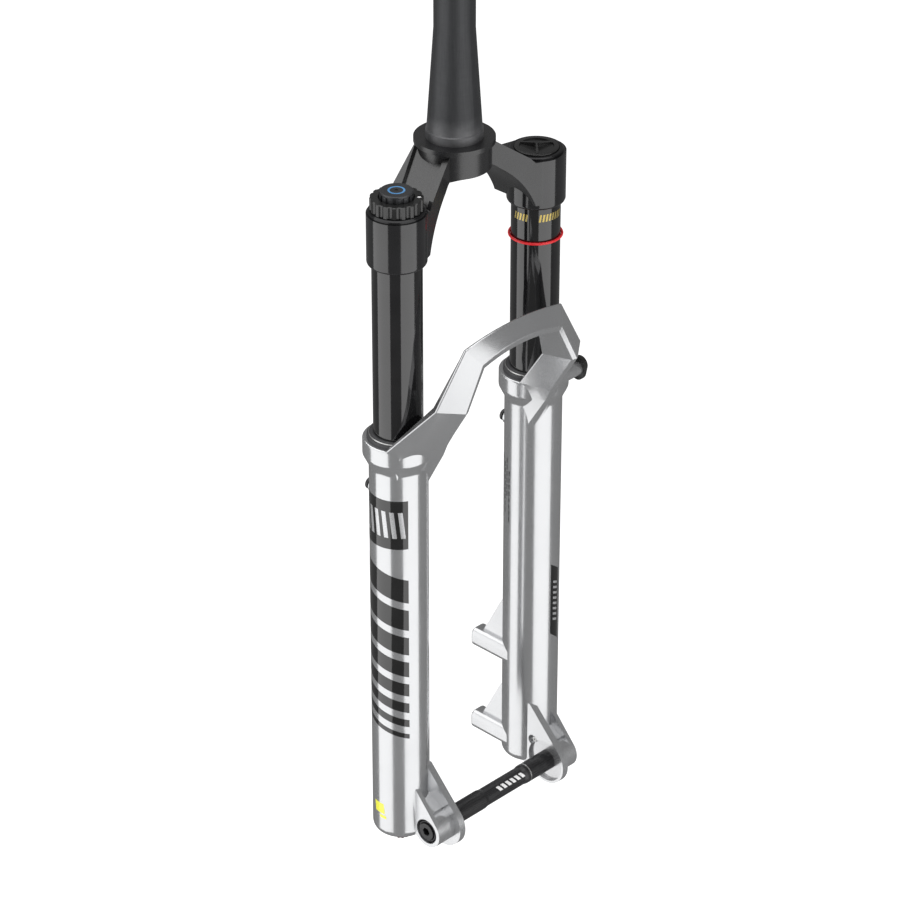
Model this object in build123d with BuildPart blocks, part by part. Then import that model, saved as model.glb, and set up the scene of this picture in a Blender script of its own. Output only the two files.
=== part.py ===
from build123d import *
import os

# Bicycle suspension fork, in millimetres.
# +X is forward, +Y is the rider's left and +Z runs up along the steerer.
# The origin is on the steerer's axis, on the seat of the lower headset race.

# ---- Driving dimensions ----
travel = 120.0
axle_to_crown = 519.5
axle_offset = 44.0
stanchion_offset = 12.6
stanchion_spacing = 137.0
stanchion_diameter = 35.0
stanchion_wall = 1.5
hub_width = 110.0
axle_diameter = 15.0
post_spacing = 74.2

running = 0.05
pressed = 0.02
clear = 0.4
half_spacing = stanchion_spacing / 2
stanchion_radius = stanchion_diameter / 2
tube_radius = stanchion_radius - stanchion_wall
LEFT = 1
RIGHT = -1
SIDES = ((LEFT, "left"), (RIGHT, "right"))

# Steerer
steerer_length = 265.0
steerer_radius = 14.3
steerer_wall = 2.0
race_seat_radius = 19.9
race_seat_height = 6.0
taper_top = 80.0

# Crown
hub_radius = 28.2
hub_flange = 3.4
hub_depth = 21.5
clamp_radius = stanchion_radius + 3.3
clamp_top = -29.5
clamp_bottom = -67.4
arm_rear = 17.7
arm_front = 14.6

# Exposed stanchion, then the seals and the legs under it
stroke_margin = 9.4
lip_height = 4.7
lip_z = clamp_bottom - travel - stroke_margin
rim_z = lip_z - lip_height
leg_radius = stanchion_radius + 3.4
collar_radius = stanchion_radius + 7.7
collar_depth = 12.5
cone_depth = 8.8
wiper_radius = stanchion_radius + 4.7
wiper_depth = 6.5
foam_radius = stanchion_radius + 2.7
foam_depth = 8.0
bushing_radius = stanchion_radius + 1.3
bushing_length = 20.0
foot_drop = 12.0
leg_bottom = -axle_to_crown - foot_drop
leg_floor = leg_bottom + 18.0
bump_room = 15.0
stanchion_bottom = leg_floor + travel + bump_room

# Dropouts
axle_z = -axle_to_crown
axle_radius = axle_diameter / 2
hub_seat = hub_width / 2
end_cap_radius = axle_radius + 9.0
end_cap_depth = 2.7
plate_y = hub_seat - end_cap_depth
plate_thickness = 5.5
eye_radius = end_cap_radius + 2.1
lug_radius = axle_radius + 5.4
lug_y = half_spacing + 5.5

# Disc brake posts, on the rider's left
post_y = half_spacing - 13.0
post_width = 15.0
post_reach = -29.0
post_lower_z = axle_z + 5.0
post_bolt_radius = 2.5
post_bolt_depth = 16.0


def save(piece, name):
    """Label a finished sub-part and write its STEP file."""
    piece.part.label = name
    export_step(piece.part, f"parts/{name}.step")


def leg_at(side, z=0.0):
    """Level plane on a leg's axis."""
    return Plane((stanchion_offset, side * half_spacing, z))


def upright_on_leg(side, z=0.0):
    """Upright plane through a leg's axis, with local x forward and local y up."""
    return Plane(leg_at(side, z).origin, x_dir=(1, 0, 0), z_dir=(0, -1, 0))


def upright(y):
    """Plane across the fork at y, with local x forward and local y up."""
    return Plane((0, y, 0), x_dir=(1, 0, 0), z_dir=(0, -1, 0))


def turned(x, y, outline):
    """Revolve an outline of (radius, height) points about a vertical axis at x, y."""
    with BuildPart() as piece:
        with BuildSketch(Plane((x, y, 0), x_dir=(1, 0, 0), z_dir=(0, -1, 0))):
            with BuildLine():
                Polyline(*outline, close=True)
            make_face()
        revolve(axis=Axis((x, y, 0), (0, 0, 1)))
    return piece


def turned_on_leg(side, outline):
    """Revolve an outline of (radius, height) points about a leg's axis."""
    return turned(stanchion_offset, side * half_spacing, outline)


def tube_on_leg(side, outer, inner, bottom, top):
    """Plain ring on a leg's axis."""
    return turned_on_leg(side, [(inner, bottom), (outer, bottom), (outer, top), (inner, top)])


os.makedirs("parts", exist_ok=True)

# ---- Steerer tube: straight above, tapered to the race seat below ----
seat_bottom = -hub_depth + 1.0
bore_radius = steerer_radius - steerer_wall
seat_bore = race_seat_radius - 3.6
press_radius = race_seat_radius - 0.5
steerer_tube = turned(0, 0, [
    (seat_bore, seat_bottom),
    (press_radius, seat_bottom),
    (press_radius, 0),
    (race_seat_radius, 0),
    (race_seat_radius, race_seat_height),
    (race_seat_radius - 0.7, race_seat_height + 0.8),
    (steerer_radius, taper_top),
    (steerer_radius, steerer_length),
    (bore_radius, steerer_length),
    (bore_radius, taper_top),
    (seat_bore, race_seat_height),
])
save(steerer_tube, "steerer_tube")

# ---- Crown: hub, two sloping arms and two clamps, forged in one ----
arm_start = 20.0
arm_start_z = -4.5
arm_drop = 20.5
arm_slope = arm_drop / (half_spacing - clamp_radius - arm_start)
arm_shift = 0.3
root_y = 16.0
corner_radius = 2.0
pocket_rim = 3.2
arm_inset = 0.4
pocket_depth = 2.4
hub_flat = 12.0
arch_y = 26.5
arch_z = -26.0
gusset_y = half_spacing - clamp_radius + 4.3
gusset_z = clamp_bottom + 5.0
clamp_lip = 0.6
blank_depth = 2 * hub_radius + 40.0


def arm_top(y):
    """Height of the sloping top of a crown arm at distance y from the middle."""
    return arm_start_z - arm_slope * (y - arm_start)


def arm_middle(y):
    """Forward place of an arm's centreline at distance y from the middle."""
    return arm_shift * (y - arm_start)


def arm_plan(side):
    """Outline of an arm from above: the hull of its clamp and of two corners at the hub."""
    with BuildSketch(Plane.XY, mode=Mode.PRIVATE) as plan:
        with Locations((stanchion_offset, side * half_spacing)):
            Circle(clamp_radius - arm_inset)
        with Locations(
            (arm_middle(root_y) - arm_rear + corner_radius, side * root_y),
            (arm_middle(root_y) + arm_front - corner_radius, side * root_y),
        ):
            Circle(corner_radius)
        make_hull()
    return plan.sketch


with BuildPart() as crown:
    for side, side_name in SIDES:
        with BuildSketch(Plane.YZ.offset(-hub_radius)):
            with BuildLine():
                Polyline(
                    (side * gusset_y, gusset_z),
                    (side * half_spacing, gusset_z),
                    (side * half_spacing, clamp_top),
                    (side * (half_spacing - clamp_radius + 4), clamp_top),
                    (side * (half_spacing - clamp_radius), arm_top(half_spacing - clamp_radius)),
                    (side * arm_start, arm_start_z),
                    (0, arm_start_z),
                    (0, -hub_depth),
                    (side * hub_flat, -hub_depth),
                )
                TangentArc(
                    (side * hub_flat, -hub_depth),
                    (side * arch_y, arch_z - 2.0),
                    tangent=(side * 1.0, 0),
                )
                ThreePointArc(
                    (side * arch_y, arch_z - 2.0),
                    (side * (arch_y + gusset_y + 5.0) / 2, (arch_z + gusset_z) / 2 + 1.5),
                    (side * gusset_y, gusset_z),
                )
            make_face()
        extrude(amount=blank_depth)
    with BuildSketch(Plane.XY.offset(5)):
        Circle(hub_radius - 2.5)
        for side, side_name in SIDES:
            add(arm_plan(side))
    extrude(amount=-blank_depth, mode=Mode.INTERSECT)
    # Shallow pocket in the top of each arm, between two raised rims
    for side, side_name in SIDES:
        middle_y = (arm_start + half_spacing - clamp_radius) / 2
        pocket = Plane(
            (arm_middle(middle_y) + (arm_front - arm_rear) / 2, side * middle_y, arm_top(middle_y)),
            x_dir=(1, -side * arm_shift, arm_shift * arm_slope),
            z_dir=(0, side * arm_slope, 1),
        )
        with BuildSketch(pocket):
            Rectangle(arm_rear + arm_front - 2 * pocket_rim, 2 * (half_spacing - arm_start))
        extrude(amount=-pocket_depth, taper=30, mode=Mode.SUBTRACT)
    # Hub with its flange
    with BuildSketch(Plane.XY):
        Circle(hub_radius)
    extrude(amount=-hub_flange)
    with BuildSketch(Plane.XY.offset(-hub_flange)):
        Circle(hub_radius - 2.6)
    extrude(amount=hub_flange - hub_depth)
    # Clamps
    for side, side_name in SIDES:
        with BuildSketch(leg_at(side, clamp_bottom)):
            Circle(clamp_radius)
        extrude(amount=clamp_top - clamp_bottom)
    fillet(crown.edges().filter_by(GeomType.CIRCLE).group_by(Axis.Z)[0], 2.5)
    for side, side_name in SIDES:
        with BuildSketch(leg_at(side, clamp_bottom)):
            Circle(stanchion_radius)
        extrude(amount=blank_depth, mode=Mode.SUBTRACT)
        with BuildSketch(leg_at(side, clamp_top)):
            Circle(clamp_radius - clamp_lip)
        extrude(amount=blank_depth, mode=Mode.SUBTRACT)
    with BuildSketch(Plane.XY):
        Circle(press_radius)
    extrude(amount=-blank_depth, mode=Mode.SUBTRACT)
save(crown, "crown")

# ---- Stanchions: hard-anodised tubes pressed into the crown ----
for side, side_name in SIDES:
    stanchion = tube_on_leg(side, stanchion_radius, tube_radius, stanchion_bottom, clamp_top)
    save(stanchion, f"stanchion_{side_name}")

# ---- Arch: a crowned bridge and two folded legs, cast with the lowers ----
# Corners are given forward of the stanchion axis, outward of the leg axis, up from the wiper rim
bend_corner = (44.0, -19.9, 76.2)
shoulder_corner = (40.1, 4.9, 35.4)
rim_corner = (10.9, 23.0, 0.0)
collar_corner = (8.4, 21.5, -10.0)
root_corner = (9.4, 13.5, -38.3)
bridge_rise = 5.0
arch_edge = 1.3

bridge_outline = [(0, 0), (9.3, 10.6), (8.5, 15.3), (-12.5, 17.0), (-7.0, 6.5)]
bend_outline = [(0, 0), (9.2, 15.0), (8.4, 19.6), (-13.5, 21.0), (-6.0, 8.5)]
shoulder_outline = [(0, 0), (13.0, 17.4), (11.5, 21.6), (-12.7, 28.4), (-7.0, 6.0)]
shoulder_folded = [(0, 0), (3.0, 4.0), (13.0, 17.4), (11.5, 21.6), (-12.7, 28.4), (-7.0, 6.0)]
rim_outline = [(0, 0), (12.2, 8.5), (23.1, 37.0), (21.0, 40.0), (-3.5, 47.0), (-1.5, 1.0)]
collar_outline = [(0, 0), (6.5, 2.0), (21.4, 35.8), (19.0, 38.5), (-6.0, 44.0), (-5.0, 6.0)]
root_outline = [(0, 0), (4.0, 2.0), (4.2, 29.4), (0.0, 31.0), (-14.0, 32.0), (-10.0, 12.0)]


def arch_plane(side, corner, inward, drop):
    """Plane through an arch corner, with local x forward and local y inward and down."""
    forward, outward, up = corner
    origin = (stanchion_offset + forward, side * (half_spacing + outward), rim_z + up)
    return Plane(origin, x_dir=(1, 0, 0), z_dir=(0, drop, -side * inward))


def bend_plane(side):
    """Mitre between the bridge and an arch leg."""
    return arch_plane(side, bend_corner, 8.8, 12.1)


def shoulder_plane(side):
    """Fold where an arch leg turns down to the collar."""
    return arch_plane(side, shoulder_corner, 17.2, 2.9)


def outline_sketch(plane, outline):
    """Closed outline on a plane with rounded corners, but for the crease of a six-sided one."""
    corner_radii = [arch_edge] * len(outline)
    if len(outline) == 6:
        corner_radii[1] = 0
    with BuildSketch(plane) as flat:
        with BuildLine():
            FilletPolyline(*outline, radius=corner_radii, close=True)
        make_face()
    return flat.sketch


bridge_top = rim_z + bend_corner[2] + bridge_rise
bridge_origin = (stanchion_offset + bend_corner[0] + 0.4, 0, bridge_top)
bridge_plane = Plane(bridge_origin, x_dir=(1, 0, 0), z_dir=(0, 1, 0))
with BuildPart() as arch:
    loft([
        outline_sketch(bend_plane(LEFT), bend_outline),
        outline_sketch(bridge_plane, bridge_outline),
        outline_sketch(bend_plane(RIGHT), bend_outline),
    ])
    for side, side_name in SIDES:
        loft([
            outline_sketch(bend_plane(side), bend_outline),
            outline_sketch(shoulder_plane(side), shoulder_outline),
        ], ruled=True)
        loft([
            outline_sketch(shoulder_plane(side), shoulder_folded),
            outline_sketch(arch_plane(side, rim_corner, 1.0, 0.0), rim_outline),
            outline_sketch(arch_plane(side, collar_corner, 1.0, 0.0), collar_outline),
            outline_sketch(arch_plane(side, root_corner, 1.0, 0.0), root_outline),
        ], ruled=True)

# ---- Lower casting: two legs, the arch, the dropouts and the brake posts, cast in one ----
leg_edge = 7.0
collar_blend = 4.0
rim_edge = 1.2
rib_tip = 1.5
web_thickness = 3.5
foot_bore = 5.0
foot_recess = 8.5
foot_recess_depth = 7.5
head_recess = axle_radius + 2.4
head_seat = 6.0
valve_z = -49.8
valve_boss = 6.6
valve_face = leg_radius + 2.2
valve_bore = 3.6
guide_reach = collar_radius - 3.2
guide_drop = 0.8
rib_height = 38.0
rib_thickness = 4.0


def valve_at(side):
    """Plane on a leg's axis that faces back, at the height of its pressure relief button."""
    origin = (stanchion_offset, side * half_spacing, rim_z + valve_z)
    return Plane(origin, x_dir=(0, 1, 0), z_dir=(-1, 0, 0))


def hull_plate(side, y, thickness, discs):
    """Upright plate from y outward, the hull of (x, z, radius) discs."""
    with BuildPart() as plate:
        with BuildSketch(upright(side * y)):
            for x, z, radius in discs:
                with Locations((x, z)):
                    Circle(radius)
            make_hull()
        extrude(amount=-side * thickness)
    return plate.part


def brake_post(post_z):
    """Post with a rounded section that reaches back from the leg to the caliper's face."""
    with BuildPart() as post:
        with BuildSketch(Plane.YZ.offset(post_reach)):
            with Locations((post_y, post_z)):
                RectangleRounded(post_width, post_width, 4.5)
        extrude(amount=stanchion_offset - post_reach)
        fillet(post.faces().sort_by(Axis.X)[0].edges(), 1.0)
    return post.part


with BuildPart() as lower_casting:
    for side, side_name in SIDES:
        add(turned_on_leg(side, [
            (0, leg_bottom),
            (leg_radius, leg_bottom),
            (leg_radius, rim_z - collar_depth - cone_depth),
            (collar_radius, rim_z - collar_depth),
            (collar_radius, rim_z),
            (0, rim_z),
        ]).part)
    ring_levels = lower_casting.edges().filter_by(GeomType.CIRCLE).group_by(Axis.Z)
    fillet(ring_levels[0], leg_edge)
    ring_levels = lower_casting.edges().filter_by(GeomType.CIRCLE).group_by(Axis.Z)
    fillet(ring_levels[-2] + ring_levels[-3], collar_blend)
    fillet(lower_casting.edges().filter_by(GeomType.CIRCLE).group_by(Axis.Z)[-1], rim_edge)
    add(arch.part)
    for side, side_name in SIDES:
        # Inner plate of the dropout, the lug outboard of it, and the ribs up the leg
        add(hull_plate(side, plate_y, plate_thickness, [
            (axle_offset, axle_z, eye_radius),
            (stanchion_offset + 14.5, axle_z + 42.0, rib_tip),
            (stanchion_offset - 8.0, axle_z - 1.0, rib_tip),
            (stanchion_offset + 9.5, axle_z - 9.0, rib_tip),
        ]))
        add(hull_plate(side, plate_y, lug_y - plate_y, [(axle_offset, axle_z, lug_radius)]))
        add(hull_plate(side, lug_y - web_thickness, web_thickness, [
            (axle_offset, axle_z, lug_radius),
            (stanchion_offset + 19.0, axle_z + 31.0, rib_tip),
            (stanchion_offset + 7.4, axle_z + 4.0, rib_tip),
        ]))
        add(hull_plate(side, plate_y + plate_thickness - 1.0, lug_y - plate_y - plate_thickness - 2.0, [
            (axle_offset, axle_z, lug_radius - 2.0),
            (stanchion_offset + 17.0, axle_z + 18.0, 2 * rib_tip),
            (stanchion_offset + 5.4, axle_z + 3.0, 2 * rib_tip),
        ]))
        # Boss for the pressure relief button
        valve_plane = valve_at(side)
        with BuildSketch(valve_plane.offset(leg_radius - 4)):
            Circle(valve_boss)
        extrude(amount=valve_face - leg_radius + 4, taper=8)
    # Brake posts with a rib above each
    for post_z in (post_lower_z, post_lower_z + post_spacing):
        add(brake_post(post_z))
        with BuildSketch(upright(post_y - rib_thickness / 2)):
            with BuildLine():
                Polyline(
                    (stanchion_offset, post_z),
                    (stanchion_offset, post_z + rib_height + 20),
                    (stanchion_offset - 16.0, post_z + rib_height + 4),
                    (post_reach + post_width / 2, post_z + post_width / 2),
                    (post_reach + post_width / 2, post_z),
                    close=True,
                )
            make_face()
        extrude(amount=-rib_thickness)
    # Hose guide boss on the left collar
    guide_x = stanchion_offset + guide_reach
    guide_z = rim_z - guide_drop
    with BuildSketch(upright(half_spacing)):
        with Locations((guide_x, guide_z)):
            Circle(5.2)
    extrude(amount=-guide_reach)
    # Bores, from the seal seats down to the foot
    for side, side_name in SIDES:
        add(turned_on_leg(side, [
            (0, leg_floor),
            (bushing_radius, leg_floor),
            (bushing_radius, rim_z - wiper_depth - foam_depth - 0.6),
            (foam_radius, rim_z - wiper_depth - foam_depth - 0.6),
            (foam_radius, rim_z - wiper_depth),
            (wiper_radius, rim_z - wiper_depth),
            (wiper_radius, rim_z + 60),
            (0, rim_z + 60),
        ]).part, mode=Mode.SUBTRACT)
        add(turned_on_leg(side, [
            (0, leg_bottom - 1),
            (foot_recess, leg_bottom - 1),
            (foot_recess, leg_bottom + foot_recess_depth),
            (foot_bore, leg_bottom + foot_recess_depth),
            (foot_bore, leg_floor + 1),
            (0, leg_floor + 1),
        ]).part, mode=Mode.SUBTRACT)
        valve_plane = valve_at(side)
        with BuildSketch(valve_plane.offset(bushing_radius - 1)):
            Circle(valve_bore)
        extrude(amount=10, mode=Mode.SUBTRACT)
        # Hub end cap seat
        with BuildSketch(upright(side * plate_y)):
            with Locations((axle_offset, axle_z)):
                Circle(end_cap_radius)
            with Locations((axle_offset - 12.3, axle_z + 12.6)):
                Circle(4.6)
        extrude(amount=-side * end_cap_depth, mode=Mode.SUBTRACT)
        with BuildSketch(upright(side * plate_y)):
            with Locations((axle_offset, axle_z)):
                Circle(axle_radius + running)
        extrude(amount=-side * 40, mode=Mode.SUBTRACT)
    # Seat for the axle's head, on the right
    with BuildSketch(upright(RIGHT * lug_y)):
        with Locations((axle_offset, axle_z)):
            Circle(head_recess)
    extrude(amount=-head_seat, mode=Mode.SUBTRACT)
    # Tapped holes in the brake posts, the hose guide boss and the left dropout
    for post_z in (post_lower_z, post_lower_z + post_spacing):
        with BuildSketch(Plane.YZ.offset(post_reach)):
            with Locations((post_y, post_z)):
                Circle(post_bolt_radius)
        extrude(amount=post_bolt_depth, mode=Mode.SUBTRACT)
    with BuildSketch(upright(half_spacing + guide_reach)):
        with Locations((guide_x, guide_z)):
            Circle(1.6)
    extrude(amount=9, mode=Mode.SUBTRACT)
save(lower_casting, "lower_casting")

# ---- Seals and bushings in the top of each leg ----
lip_radius = stanchion_radius + running
garter_wire = 0.5
lower_bushing_top = stanchion_bottom + 34.0
for side, side_name in SIDES:
    wiper_body = turned_on_leg(side, [
        (lip_radius, lip_z),
        (lip_radius + 1.2, lip_z),
        (lip_radius + 3.2, lip_z - 1.6),
        (wiper_radius - 0.3, lip_z - 2.2),
        (wiper_radius - 0.1, rim_z + 0.6),
        (wiper_radius, rim_z),
        (wiper_radius, rim_z - wiper_depth),
        (lip_radius + 0.9, rim_z - wiper_depth),
        (lip_radius + 0.9, lip_z - 4.0),
        (lip_radius, lip_z - 2.0),
    ])
    with BuildPart() as garter:
        with BuildSketch(upright_on_leg(side, lip_z - 1.3)):
            with Locations((lip_radius + 2.95, 0)):
                Circle(garter_wire)
        revolve(axis=Axis(leg_at(side).origin, (0, 0, 1)))
    save(garter, f"wiper_spring_{side_name}")
    with BuildPart() as wiper:
        add(wiper_body.part)
        add(garter.part, mode=Mode.SUBTRACT)
    save(wiper, f"wiper_seal_{side_name}")
    foam = tube_on_leg(side, foam_radius, stanchion_radius + 0.2, rim_z - wiper_depth - foam_depth,
                       rim_z - wiper_depth - 0.3)
    save(foam, f"foam_ring_{side_name}")
    upper_bushing_top = rim_z - collar_depth - cone_depth + 2.0
    for place, top in (("upper", upper_bushing_top), ("lower", lower_bushing_top)):
        bushing = tube_on_leg(side, bushing_radius, lip_radius, top - bushing_length, top)
        save(bushing, f"{place}_bushing_{side_name}")

# ---- Sag indicator: a rubber ring that grips the left stanchion ----
sag_section = 1.0
sag_drop = 26.2
with BuildPart() as sag_ring:
    with BuildSketch(upright_on_leg(LEFT, clamp_bottom - sag_drop)):
        with Locations((lip_radius + sag_section, 0)):
            Circle(sag_section)
    revolve(axis=Axis(leg_at(LEFT).origin, (0, 0, 1)))
save(sag_ring, "sag_ring")

# ---- Air spring, in the left leg ----
shaft_radius = 5.0
shaft_bore = 3.4
head_thickness = 16.0
head_top = stanchion_bottom + head_thickness + 4.0
piston_bottom = head_top + 5.0
piston_height = 14.0
groove_bottom = piston_bottom + 5.0
groove_top = groove_bottom + 3.6
groove_depth = 2.4
piston_crown = 2.6
seal_gap = 0.2
cap_body = 26.0
air_flange = 1.8
cap_radius = tube_radius - 0.4
cap_seat = clamp_top + 0.4
well_floor = clamp_top - 9.0
valve_height = 7.6
air_top_cap = turned_on_leg(LEFT, [
    (0, clamp_top - cap_body),
    (tube_radius - running, clamp_top - cap_body),
    (tube_radius - running, clamp_top),
    (clamp_radius - 2.0, clamp_top),
    (clamp_radius - 2.0, clamp_top + air_flange - 0.6),
    (clamp_radius - 2.6, clamp_top + air_flange),
    (cap_radius + 0.5, clamp_top + air_flange),
    (cap_radius + 0.5, cap_seat),
    (10.0, cap_seat),
    (9.0, well_floor),
    (0, well_floor),
])
save(air_top_cap, "air_top_cap")
air_valve = turned_on_leg(LEFT, [
    (1.4, well_floor),
    (3.9, well_floor),
    (3.9, well_floor + valve_height - 1.0),
    (3.4, well_floor + valve_height),
    (1.4, well_floor + valve_height),
])
save(air_valve, "air_valve")
valve_core = turned_on_leg(LEFT, [
    (0, well_floor + 0.5),
    (1.2, well_floor + 0.5),
    (1.2, well_floor + valve_height - 0.7),
    (0.6, well_floor + valve_height - 0.3),
    (0, well_floor + valve_height - 0.3),
])
save(valve_core, "valve_core")
air_cap_height = 2.2
seal_radius = cap_radius - 3.0
seal_width = 1.8
seal_groove = 0.9
web_height = 2.2
web_radius = cap_radius - 3.4
cap_base = cap_seat + 0.3
with BuildPart() as air_cap:
    with BuildSketch(leg_at(LEFT, cap_base)):
        Circle(cap_radius)
    extrude(amount=air_cap_height)
    fillet(air_cap.edges().group_by(Axis.Z)[-1], 0.6)
    # Dish inside the rim, crossed by a raised grip with three arms
    with BuildSketch(leg_at(LEFT, cap_base + air_cap_height)):
        Circle(web_radius)
    extrude(amount=1.2 - air_cap_height, mode=Mode.SUBTRACT)
    with BuildSketch(leg_at(LEFT, cap_base + 1.0)):
        with PolarLocations(0, 3, start_angle=-45):
            with Locations((web_radius / 2, 0)):
                Rectangle(web_radius + 1.0, 2.4)
        RegularPolygon(3.4, 3, rotation=-45)
    extrude(amount=air_cap_height - 1.0 + web_height, taper=8)
    # The arms slope down to the rim
    with BuildSketch(upright_on_leg(LEFT)):
        with BuildLine():
            Polyline(
                (1.5, cap_base + air_cap_height + web_height),
                (cap_radius + 1.0, cap_base + air_cap_height - 0.5),
                (cap_radius + 1.0, cap_base + air_cap_height + 6.0),
                (1.5, cap_base + air_cap_height + 6.0),
                close=True,
            )
        make_face()
    revolve(axis=Axis(leg_at(LEFT).origin, (0, 0, 1)), mode=Mode.SUBTRACT)
    # Room for the valve, and a groove for the seal under the rim
    with BuildSketch(leg_at(LEFT, cap_base)):
        Circle(seal_radius + seal_width)
        Circle(seal_radius, mode=Mode.SUBTRACT)
    extrude(amount=seal_groove, mode=Mode.SUBTRACT)
save(air_cap, "air_cap")
air_cap_seal = tube_on_leg(LEFT, seal_radius + seal_width - 0.1, seal_radius + 0.1,
                           cap_seat + running, cap_base + seal_groove - 0.1)
save(air_cap_seal, "air_cap_seal")
spacer_height = 16.0
spacer_bore = 6.0
for place in (1, 2):
    spacer_top = clamp_top - cap_body - clear - (place - 1) * (spacer_height + clear)
    spacer = tube_on_leg(LEFT, tube_radius - 2.0, spacer_bore, spacer_top - spacer_height, spacer_top)
    save(spacer, f"volume_spacer_{place}")
air_seal_head = turned_on_leg(LEFT, [
    (shaft_radius + running, head_top - head_thickness),
    (tube_radius - running, head_top - head_thickness),
    (tube_radius - running, head_top),
    (shaft_radius + 2.0, head_top),
    (shaft_radius + running, head_top - 2.0),
])
save(air_seal_head, "air_seal_head")
for side, side_name in SIDES:
    with BuildPart() as clip:
        with BuildSketch(leg_at(side, stanchion_bottom + 2.0)):
            Circle(tube_radius - running)
            Circle(tube_radius - 2.6, mode=Mode.SUBTRACT)
            with Locations((tube_radius, 0)):
                Rectangle(8.0, 7.0, mode=Mode.SUBTRACT)
        extrude(amount=1.6)
    save(clip, f"seal_head_clip_{side_name}")
top_out_bumper = tube_on_leg(LEFT, tube_radius - 4.0, shaft_radius + 2.6, head_top + 0.2, head_top + 4.4)
save(top_out_bumper, "top_out_bumper")
shaft_bottom = leg_floor + 0.2
air_shaft = tube_on_leg(LEFT, shaft_radius, shaft_bore + 0.8, shaft_bottom,
                        piston_bottom + piston_height - 3)
save(air_shaft, "air_shaft")
air_piston = turned_on_leg(LEFT, [
    (shaft_radius + pressed, piston_bottom),
    (tube_radius - clear, piston_bottom),
    (tube_radius - clear, groove_bottom),
    (tube_radius - clear - groove_depth, groove_bottom),
    (tube_radius - clear - groove_depth, groove_top),
    (tube_radius - clear, groove_top),
    (tube_radius - clear, piston_bottom + piston_height),
    (0, piston_bottom + piston_height),
    (0, piston_bottom + piston_height - piston_crown),
    (shaft_radius + pressed, piston_bottom + piston_height - piston_crown),
])
save(air_piston, "air_piston")
air_piston_seal = tube_on_leg(LEFT, tube_radius - running, tube_radius - clear - groove_depth + 0.1,
                              groove_bottom + seal_gap, groove_top - seal_gap)
save(air_piston_seal, "air_piston_seal")
bumper = tube_on_leg(LEFT, shaft_radius + 5.0, shaft_radius + pressed, leg_floor + 0.1,
                     leg_floor + bump_room - 2.0)
save(bumper, "bottom_out_bumper")

# ---- Damper, in the right leg ----
cap_flange = 2.5
cartridge_radius = tube_radius - 3.4
cartridge_wall = 1.4
cartridge_bore = cartridge_radius - cartridge_wall
dial_bore = 3.0
damper_top_cap = turned_on_leg(RIGHT, [
    (dial_bore, clamp_top - 20.0),
    (cartridge_radius, clamp_top - 20.0),
    (cartridge_radius, clamp_top - 14.0),
    (tube_radius - running, clamp_top - 14.0),
    (tube_radius - running, clamp_top),
    (clamp_radius - 1.0, clamp_top),
    (clamp_radius - 1.0, clamp_top + 1.6),
    (clamp_radius - 2.0, clamp_top + cap_flange),
    (dial_bore, clamp_top + cap_flange),
])
save(damper_top_cap, "damper_top_cap")
outer_radius = clamp_radius - 2.5
inner_radius = outer_radius - 6.5
outer_height = 8.6
outer_base = clamp_top + cap_flange + clear
dial_hub = 5.0
with BuildPart() as compression_dial:
    with BuildSketch(leg_at(RIGHT, outer_base)):
        Circle(outer_radius)
        with PolarLocations(outer_radius + 1.7, 18):
            Circle(2.7, mode=Mode.SUBTRACT)
    extrude(amount=outer_height)
    chamfer(compression_dial.faces().sort_by(Axis.Z)[-1].edges(), 0.5)
    with BuildSketch(leg_at(RIGHT, outer_base + outer_height)):
        Circle(inner_radius + 2 * clear)
    extrude(amount=-2.0, mode=Mode.SUBTRACT)
    with BuildSketch(leg_at(RIGHT, outer_base)):
        Circle(dial_hub + clear)
    extrude(amount=outer_height, mode=Mode.SUBTRACT)
    with BuildSketch(leg_at(RIGHT, outer_base + outer_height)):
        with PolarLocations(outer_radius - 3.0, 1, start_angle=45):
            Circle(2.0)
    extrude(amount=-1.0, mode=Mode.SUBTRACT)
save(compression_dial, "compression_dial")
inner_base = outer_base + outer_height - 1.6
inner_height = 6.4
with BuildPart() as climb_dial:
    with BuildSketch(leg_at(RIGHT, inner_base)):
        Circle(inner_radius)
        with PolarLocations(inner_radius, 14):
            Rectangle(1.8, 2.2, mode=Mode.SUBTRACT)
    extrude(amount=inner_height - 1.4)
    with BuildSketch(leg_at(RIGHT, inner_base + inner_height - 1.4)):
        Circle(inner_radius - 0.4)
    extrude(amount=1.4)
    fillet(climb_dial.edges().group_by(Axis.Z)[-1], 0.6)
    with BuildSketch(leg_at(RIGHT, inner_base + inner_height)):
        Circle(6.0)
        Circle(4.6, mode=Mode.SUBTRACT)
        Circle(1.3)
    extrude(amount=-0.5, mode=Mode.SUBTRACT)
    with BuildSketch(leg_at(RIGHT, inner_base)):
        Circle(dial_hub)
    extrude(amount=outer_base - inner_base + 0.3)
    with BuildSketch(leg_at(RIGHT, inner_base)):
        Circle(dial_bore - running)
    extrude(amount=clamp_top - 34.0 - inner_base)
save(climb_dial, "climb_dial")
with BuildPart() as dial_inlay:
    with BuildSketch(leg_at(RIGHT, inner_base + inner_height - 0.5)):
        Circle(6.0)
        Circle(4.6, mode=Mode.SUBTRACT)
    extrude(amount=0.5)
save(dial_inlay, "dial_inlay")
cartridge_bottom = head_top - 3.0
cartridge_top = clamp_top - 20.0
damper_tube = tube_on_leg(RIGHT, cartridge_radius, cartridge_bore, cartridge_bottom, cartridge_top)
save(damper_tube, "damper_tube")
valve_top = clamp_top - 92.0
base_valve = turned_on_leg(RIGHT, [
    (0, valve_top - 9.0),
    (cartridge_bore - running, valve_top - 9.0),
    (cartridge_bore - running, valve_top),
    (dial_bore + 1.5, valve_top + 3.0),
    (dial_bore + 1.5, cartridge_top - 0.2),
    (dial_bore, cartridge_top - 0.2),
    (dial_bore, valve_top),
    (0, valve_top),
])
save(base_valve, "base_valve")
floater_height = 8.0
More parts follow.
